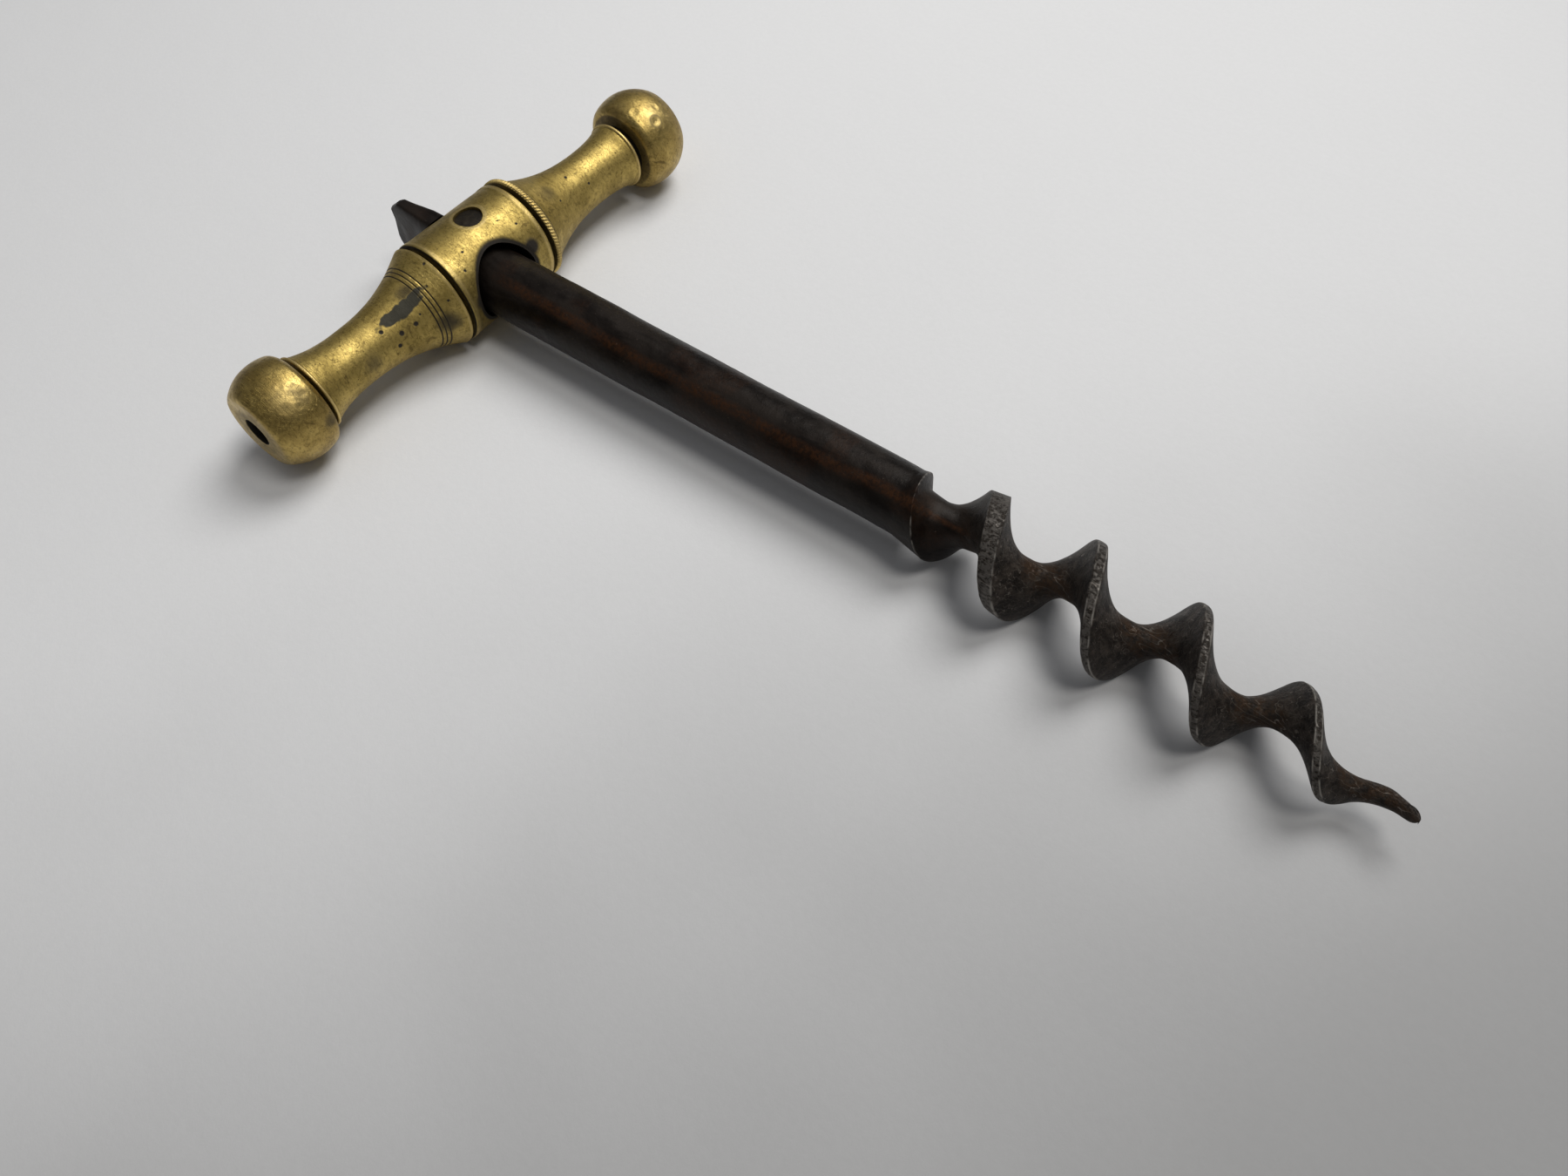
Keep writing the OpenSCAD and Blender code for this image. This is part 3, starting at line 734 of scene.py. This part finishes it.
def make_stud(hand):
    """A threaded rod: the thread is cut into it as a helix, inside the plain stud's radius."""
    pitch, depth, sides, gap = 0.6, 0.2, 48, 0.05
    chamfer_r, chamfer_y = STUD_R - 0.2, 0.25
    outline = [(0, STUD_IN), (chamfer_r, STUD_IN), (STUD_R, STUD_IN + chamfer_y),
               (STUD_R, STUD_OUT - chamfer_y), (chamfer_r, STUD_OUT), (0, STUD_OUT)]

    def shape(y, angle, radius, points):
        phase = (np.abs(y) / pitch - angle / 360) % 1
        groove = np.clip(1 - np.abs(phase - 0.5) * 3.2, 0, 1)
        return -depth * groove * step(radius, STUD_R - 0.3, STUD_R - 0.05)

    name = "stud_left_threaded" if hand < 0 else "stud_right_threaded"
    return turned(name, spaced(rounded(outline, gap), gap), sides, hand, shape)


def steel_place(points):
    """From the forged bar's own frame to the handle's: turned, dipped and shifted as it sits."""
    turn, dip = math.radians(SHANK_TURN), math.radians(SHANK_DIP)
    x, y, z = points[..., 0], points[..., 1], points[..., 2]
    x, y = x * math.cos(turn) - y * math.sin(turn), x * math.sin(turn) + y * math.cos(turn)
    x, z = x * math.cos(dip) + z * math.sin(dip), z * math.cos(dip) - x * math.sin(dip)
    return np.stack([x, y - SHANK_SIDE, z - SHANK_DROP], -1)


def crest_turn(s):
    """Angle of the worm's crest in degrees, s mm from its root; the pitch grows slowly."""
    return CREST_START + 360 * s / WORM_PITCH * (1 - PITCH_GROWTH * s / WORM_LEN)


def core_at(s):
    """Radius of the worm's core; the groove sets in steeply."""
    fall = CORE_START + (CORE_R - CORE_START) * s / CORE_FALL + GROOVE_STEEP * np.maximum(0, GROOVE_AT - s)
    later = CORE_R + (CORE_END_R - CORE_R) * (s - CORE_FALL) / (WORM_LEN - CORE_FALL)
    core = np.where(s < CORE_FALL, fall, later)
    blunt = np.maximum(0, s - WORM_LEN + POINT_ROUND) / (POINT_ROUND + 0.02)
    return core * np.sqrt(np.maximum(0.0, 1 - blunt ** 2))


def crest_at(s):
    """Radius of the worm's skin, where the land lies."""
    core = core_at(s)
    rising = SHANK_END_R + (WORM_R - SHANK_END_R) * np.sin(np.pi / 2 * s / RISE_LEN)
    t = np.clip((s - RISE_LEN) / (CREST_LEN - RISE_LEN), 0, 1)
    return np.where(s < RISE_LEN, rising, core + (WORM_R - core) * (1 - t ** CREST_LATE))


def land_at(s):
    """Half width of the land in degrees."""
    return LAND_START + (LAND_END - LAND_START) * np.clip((s - NARROW_FROM) / (NARROW_TO - NARROW_FROM), 0, 1)


def worm_rings(s, a):
    """Rings of the worm in its own frame; a is the angle from the crest in degrees. The skin of the
    shank trims the section, which leaves a crisp slanting edge where the groove starts. Also gives
    each point's share of the way from core to crest, and how far it lies inside the land's edge."""
    s, a = s[:, None], a[None]
    core, crest, land = core_at(s), crest_at(s), land_at(s)
    full = np.where(s < RISE_LEN, WORM_R, crest)
    off = LAST_OFF * step(s, OFF_START, WORM_LEN)
    flat = 1 - LAND_CROWN * (a / land) ** 2
    flank = (1 - LAND_CROWN) * (np.clip(180 - np.abs(a), 0, 180) / (180 - land)) ** FLANK_HOLLOW
    share = np.where(np.abs(a) < land, flat, flank)
    # a short smoothing round the section softens the land's edges
    window = np.exp(-(np.arange(-6, 7) / 2.6) ** 2)
    share = sum(w * np.roll(share, k, axis=1) for k, w in zip(range(-6, 7), window / window.sum()))
    section = core + (full - off - core) * share
    trimmed = s < RISE_LEN
    radius = np.where(trimmed, np.minimum(section, crest - off), section)
    proud = np.where(trimmed, section - crest + off, (land * 0.75 - np.abs(a)) * 0.04)
    turn = crest_turn(s)
    angle = np.radians(a + turn)
    y = off * np.cos(np.radians(turn)) + radius * np.cos(angle)
    z = off * np.sin(np.radians(turn)) + radius * np.sin(angle)
    return np.stack([s + 0 * a, y, z], -1), share, proud


def tail_rings(angle):
    """The hammered tail, from its end edge to where it meets the barrel, then round for the shank."""
    clear = BEAD_R + 0.05
    dent_x, dent_z = -13.3, -0.4
    c, s = np.cos(angle), np.sin(angle)
    across, up = np.sign(c) * np.abs(c) ** 0.35, np.sign(s) * np.abs(s) ** 0.35
    up = up / np.abs(up).max()
    high = up * TAIL_HALF
    # the uneven end edge: how far it stays back from the tip, level by level
    levels = np.array([-5.4, -5.15, -3.6, -2.6, -1.8, -1.1, 0.5, 2.0, 3.6, 5.15, 5.4])
    back = np.array([2.9, 2.4, 0.9, 0.7, 0.15, 0.0, 0.5, 0.8, 0.6, 2.4, 2.9])
    x_end = np.interp(high, levels, back) - TAIL_X
    x_meet = -np.sqrt(clear ** 2 - (high - SHANK_DROP) ** 2)
    rings = []
    for u in np.linspace(0, 1, 44):
        x = x_end + (x_meet - x_end) * u
        share = np.clip((x + TAIL_X) / (TAIL_X - BARREL_R), 0, 1)
        thick = TAIL_END_T + (TAIL_T - TAIL_END_T) * share
        soft = 1 - 0.75 * (1 - step(u, 0.0, 0.05)) ** 2
        hollow = 0.25 * np.exp(-((x - dent_x) / 0.8) ** 2 - ((high - dent_z) / 0.9) ** 2)
        y = across * (thick / 2 * soft - hollow)
        waist = 1 - 0.035 * np.sin(np.pi * np.clip((x + TAIL_X - 1) / 7, 0, 1))
        rings.append(np.stack([x, y, high * waist], -1))
    y, z = SHANK_R * c, SHANK_R * s
    rings.append(np.stack([-np.sqrt(clear ** 2 - (z - SHANK_DROP) ** 2), y, z], -1))
    return np.array(rings)


def bar_rings(angle):
    """The round shank, a plain taper from inside the barrel to the worm's root."""
    x = np.arange(-SHANK_FROM, WORM_ROOT - 0.2, 0.3)[:, None]
    r = SHANK_R + (SHANK_END_R - SHANK_R) * (x + SHANK_FROM) / (WORM_ROOT + SHANK_FROM)
    return np.stack([x + 0 * angle, r * np.cos(angle), r * np.sin(angle)], -1)


def bent(rings, s):
    """The worm's rings, bent aside and down towards the point, tilted, and moved to the worm's root."""
    bend = (s / WORM_LEN)[:, None] ** 2
    x, y, z = rings[..., 0], rings[..., 1] - BEND_SIDE * bend, rings[..., 2] - BEND_DOWN * bend
    turn, rise = math.radians(WORM_TURN), math.radians(WORM_RISE)
    x, y = x * math.cos(turn) - y * math.sin(turn), x * math.sin(turn) + y * math.cos(turn)
    x, z = x * math.cos(rise) - z * math.sin(rise), x * math.sin(rise) + z * math.cos(rise)
    return np.stack([x + WORM_ROOT, y, z], -1)


def worm_layers(shape, s, share, proud):
    """Where the steel is worm, land and core; the worm's rings are the last ones of the piece."""
    layers = {name: np.zeros(shape) for name in ("worm", "land", "root")}
    first = shape[0] - len(s)
    layers["worm"][first:] = step(s, 5.0, 13.0)[:, None]
    layers["land"][first:] = step(proud, -0.05, 0.05) * step(s, 6, 11)[:, None]
    layers["root"][first:] = step(share, 0.30, 0.04)
    return layers


def forged(points, layers):
    """The same rings with an uneven forged skin outside the barrel, and pits on the land."""
    out = points - points.mean(1, keepdims=True)
    length = np.maximum(np.linalg.norm(out, axis=-1, keepdims=True), 1e-6)
    skin = np.clip(length / 2.0, 0, 1)
    uneven = 0.05 * lumps(points * [0.45, 1, 1], 3.2, 61, 2) + 0.02 * lumps(points, 1.0, 62, 2)
    pits = np.clip(lumps(points, 0.55, 63, 3) - 0.35, 0, 1)
    nicks = np.clip(lumps(points, 1.6, 64, 2) - 0.75, 0, 1)
    gain = uneven - 0.10 * pits * (0.25 + layers["land"]) - 0.25 * nicks * layers["worm"]
    gain = np.minimum(gain, 0.04)[..., None] * skin * out / length
    outside = step(np.abs(points[..., 0]), 7.4, 8.6)[..., None]
    return points + gain * outside


def rust_and_sheen_at(points, bare):
    """A band along the shank's upper side, rust with a painted reddish sheen, and a few weaker rust blotches;
    bare is 1 on the worm.
    """
    away = np.degrees(np.arctan2(points[..., 2], points[..., 1]))
    wander = 4 * lumps(points * [0.4, 0, 0], 3.0, 67, 2)
    # rust and painted sheen: a reddish band along the shank's upper side
    band = step(np.abs(away - 126 + wander), 15, 3) * (1 - bare) * step(points[..., 0], 5, 12)
    blotches = 0.22 * step(lumps(points, 4.0, 65, 2), 0.1, 0.6) * (1 - bare)
    return np.maximum(band * (0.75 + 0.25 * lumps(points, 1.5, 68, 2)), blotches)


def rub_at(points, s, proud):
    """Bright broken wear along the land's edges and the slanting start of the groove."""
    first = len(points) - len(s)
    edge = step(np.abs(proud), 0.16, 0.02)
    broken = step(lumps(points[first:], 0.9, 66, 2), -0.25, 0.45)
    rub = np.zeros(points.shape[:2])
    rub[first:] = edge * broken * np.maximum(0.6 * step(s, 7, 13)[:, None], 0.4 * step(s, 5, 3)[:, None])
    return rub


def make_shank():
    sides = 180
    from_crest = -180 + 360 * np.arange(sides) / sides
    angle = np.radians(from_crest + CREST_START)
    s = np.linspace(0, WORM_LEN, 560)
    worm, share, proud = worm_rings(s, from_crest)
    tail = tail_rings(angle)
    points = np.concatenate([tail, bar_rings(angle), bent(worm, s)])
    layers = worm_layers(points.shape[:2], s, share, proud)
    points = forged(points, layers)
    layers["rust_and_sheen"] = rust_and_sheen_at(points, layers["worm"])
    layers["rub"] = rub_at(points, s, proud)

    placed = steel_place(points)
    middles = [steel_place(tail[0].mean(0)), placed[-1].mean(0)]
    first, rings = placed.shape[0] * sides, placed.shape[0]
    faces = grid_faces(rings, sides)
    for k in range(sides):
        k2 = (k + 1) % sides
        faces.append([first, k, k2])
        faces.append([first + 1, (rings - 1) * sides + k2, (rings - 1) * sides + k])
    faces = [f[::-1] for f in faces]
    verts = np.vstack([placed.reshape(-1, 3), middles])
    shank = make_object("forged_shank_and_worm", verts + CENTRE, faces, sharp=50)
    at_middles = [0, 0]
    mark(shank, **{name: np.concatenate([layer.ravel(), at_middles]) for name, layer in layers.items()})
    return shank


def make_pin():
    """The cross pin: its filed ends lie a little low in their hole and follow the barrel."""
    sides, rows = 72, 40
    a = np.arange(sides) * 2 * math.pi / sides
    level = np.linspace(-PIN_HALF, PIN_HALF, rows)[:, None]
    body = np.stack([PIN_R * np.cos(a) + 0 * level, PIN_R * np.sin(a) + 0 * level, level + 0 * a], -1)
    caps = []
    for end in (-1, 1):
        cap = []
        for share in np.linspace(1, 0.06, 14):
            x, y = PIN_R * share * np.cos(a), PIN_R * share * np.sin(a)
            filed = 0.03 * lumps(np.stack([x, y, 0 * x], -1), 0.8, 71, 2)
            z = end * (PIN_HALF - 0.10 - 0.05 * x ** 2) + filed
            cap.append(np.stack([x, y, np.clip(z, -PIN_HALF, PIN_HALF)], -1))
        caps.append(np.array(cap))
    rings = np.concatenate([caps[0][::-1], body[1:-1], caps[1]])
    faces = grid_faces(len(rings), sides)
    faces += [list(range(sides))[::-1], [(len(rings) - 1) * sides + k for k in range(sides)]]
    return make_object("cross_pin_filed", rings.reshape(-1, 3) + [0, PIN_Y, 0] + CENTRE, faces, sharp=40)


# ---------------------------------------------------------------- the scene

def add_camera():
    """The photograph's viewing angle, as an offset from the middle of the barrel in mm."""
    camera = bpy.data.cameras.new("camera")
    camera.sensor_width, camera.lens = 36, 26.907
    camera.clip_start = 0.01
    obj = bpy.data.objects.new("camera", camera)
    obj.location = Vector((111.24, -69.92, 104.32)) * MM + Vector(CENTRE) * MM
    obj.rotation_euler = Euler([math.radians(v) for v in (33.761, 2.387, 37.625)])
    bpy.context.scene.collection.objects.link(obj)
    bpy.context.scene.camera = obj


def add_light(name, place, aim, size, power, colour, cone=None):
    """A round soft light; with a cone, in degrees, its pool of light fades softly outwards."""
    light = bpy.data.lights.new(name, "SPOT" if cone else "AREA")
    light.energy, light.color = power, colour
    if cone:
        light.shadow_soft_size, light.spot_size, light.spot_blend = size / 2, math.radians(cone), 0.8
    else:
        light.shape, light.size = "DISK", size
    obj = bpy.data.objects.new(name, light)
    obj.location = place
    obj.rotation_euler = (Vector(place) - Vector(aim)).to_track_quat("Z", "Y").to_euler()
    bpy.context.scene.collection.objects.link(obj)


def add_world():
    """A soft room: brighter overhead, dimmer and warmer towards the horizon."""
    world = bpy.data.worlds.new("room")
    bpy.context.scene.world = world
    world.use_nodes = True
    tree = world.node_tree
    coords = tree.nodes.new("ShaderNodeTexCoord")
    parts = tree.nodes.new("ShaderNodeSeparateXYZ")
    ramp = tree.nodes.new("ShaderNodeValToRGB")
    ramp.color_ramp.elements[0].position, ramp.color_ramp.elements[0].color = 0.0, (0.11, 0.10, 0.085, 1)
    ramp.color_ramp.elements[1].position, ramp.color_ramp.elements[1].color = 0.9, (0.80, 0.81, 0.84, 1)
    tree.links.new(coords.outputs["Generated"], parts.inputs[0])
    tree.links.new(parts.outputs["Z"], ramp.inputs[0])
    tree.links.new(ramp.outputs[0], tree.nodes["Background"].inputs["Color"])
    tree.nodes["Background"].inputs["Strength"].default_value = 0.32


def add_floor():
    half = 3.0 / MM
    corners = np.array([[-half, -half, 0], [half, -half, 0], [half, half, 0], [-half, half, 0]])
    obj = make_object("paper_floor", corners, [[0, 1, 2, 3]])
    obj.data.materials.append(paper("pale_paper"))


def place(obj, body, slot_name, node, material):
    """Gives the piece its material and the body that it rides on, and hides the CAD node it replaces;
    slot_name is not used.
    """
    obj.data.materials.clear()
    obj.data.materials.append(material)
    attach(obj, body)
    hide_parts(node)


add_camera()
add_world()
add_floor()
add_light("window", (0.02, 0.40, 0.62), (-0.085, 0.075, 0.0), 0.46, 14.5, (1.0, 0.99, 0.97), cone=62)
add_light("ceiling", (0.28, 0.06, 0.75), (0.0, 0.0, 0.0), 0.24, 1.5, (1.0, 0.97, 0.92))

GOLD, OLIVE = (0.52, 0.385, 0.12), (0.28, 0.205, 0.058)
KNOB_GOLD, KNOB_OLIVE = (0.53, 0.385, 0.125), (0.29, 0.20, 0.058)
barrel_look = old_brass("barrel_brass_worn", GOLD, OLIVE, 1.0)
arm_look = old_brass("arm_brass_worn", GOLD, OLIVE, 13.0, 0.46)
knob_look = old_brass("knob_brass_worn", KNOB_GOLD, KNOB_OLIVE, 27.0, 0.36)
steel_look = dark_steel("shank_steel_patina")
stud_look = plain_steel("stud_steel_cut", (0.20, 0.19, 0.18), (0.10, 0.075, 0.05), 0.35)
pin_look = plain_steel("pin_steel_filed", (0.022, 0.018, 0.014), (0.040, 0.032, 0.022), 0.45)

place(make_barrel(), "body", "barrel_brass", "barrel", barrel_look)
place(make_arm(-1), "arm_left", "arm_brass", "arm_left", arm_look)
place(make_arm(1), "arm_right", "arm_brass", "arm_right", arm_look)
place(make_knob(-1), "knob_left", "knob_brass", "knob_left", knob_look)
place(make_knob(1), "knob_right", "knob_brass", "knob_right", knob_look)
place(make_stud(-1), "body", "stud_steel", "stud_left", stud_look)
place(make_stud(1), "body", "stud_steel", "stud_right", stud_look)
place(make_shank(), "body", "shank_steel", "shank_and_worm", steel_look)
place(make_pin(), "body", "pin_steel", "cross_pin", pin_look)

bpy.context.scene.view_settings.view_transform = "Standard"
